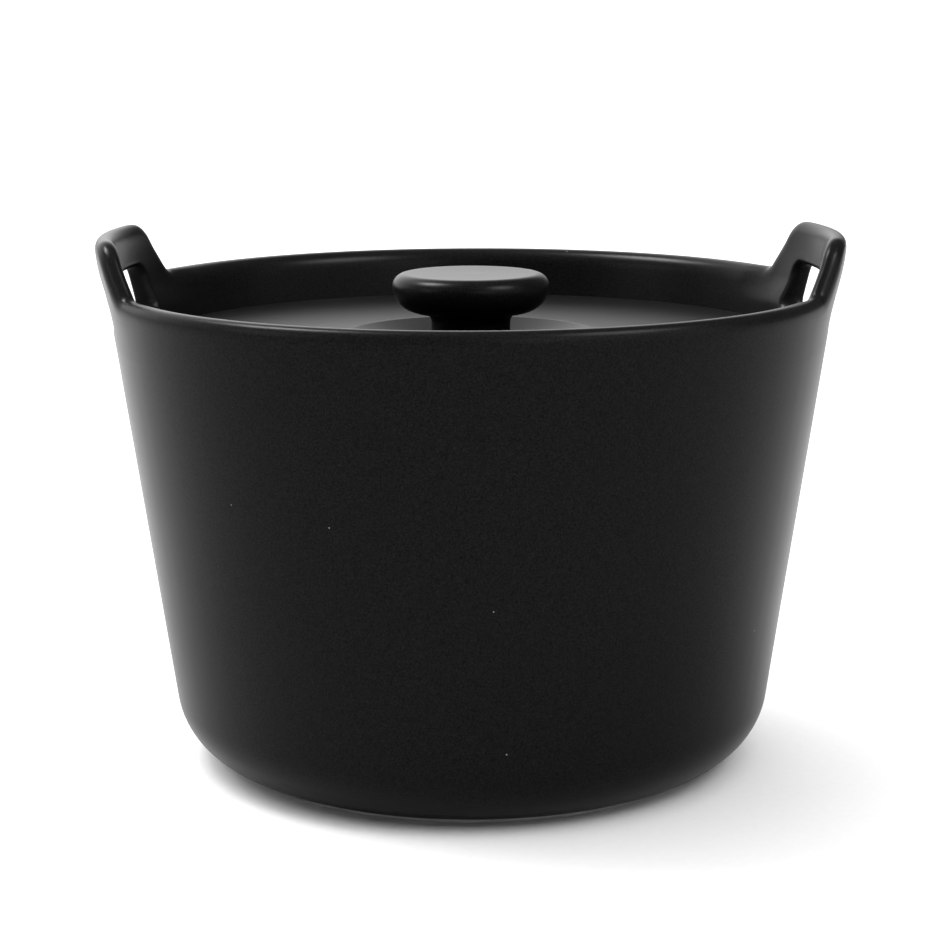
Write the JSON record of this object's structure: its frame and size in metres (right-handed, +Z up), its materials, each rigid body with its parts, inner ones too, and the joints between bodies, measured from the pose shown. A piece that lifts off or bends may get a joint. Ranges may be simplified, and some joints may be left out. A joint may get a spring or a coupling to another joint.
{
  "type": "sugar bowl",
  "caption": "Tapered lidded sugar bowl with pierced ear handles carried up from the wall and a recessed lid with a mushroom knob.",
  "frame": {"origin": "centre of the base, on the surface the bowl stands on", "axes": "+Z up through the knob, X through the two handles, Y across them"},
  "size_m": [0.106, 0.103, 0.0758],
  "materials": {
    "glaze": "satin black glaze",
    "bare_clay": "unglazed fired clay, fine grain"
  },
  "bodies": {
    "bowl": {"bowl": "glaze", "foot_ring": "bare_clay", "handle_left": "glaze", "handle_right": "glaze"},
    "lid": {"lid": "glaze", "knob": "glaze"}
  },
  "joints": [
    {"name": "lid_lift", "type": "slide", "parent": "bowl", "child": "lid", "axis": [0, 0, 1], "range_m": [0, 0.03]}
  ]
}
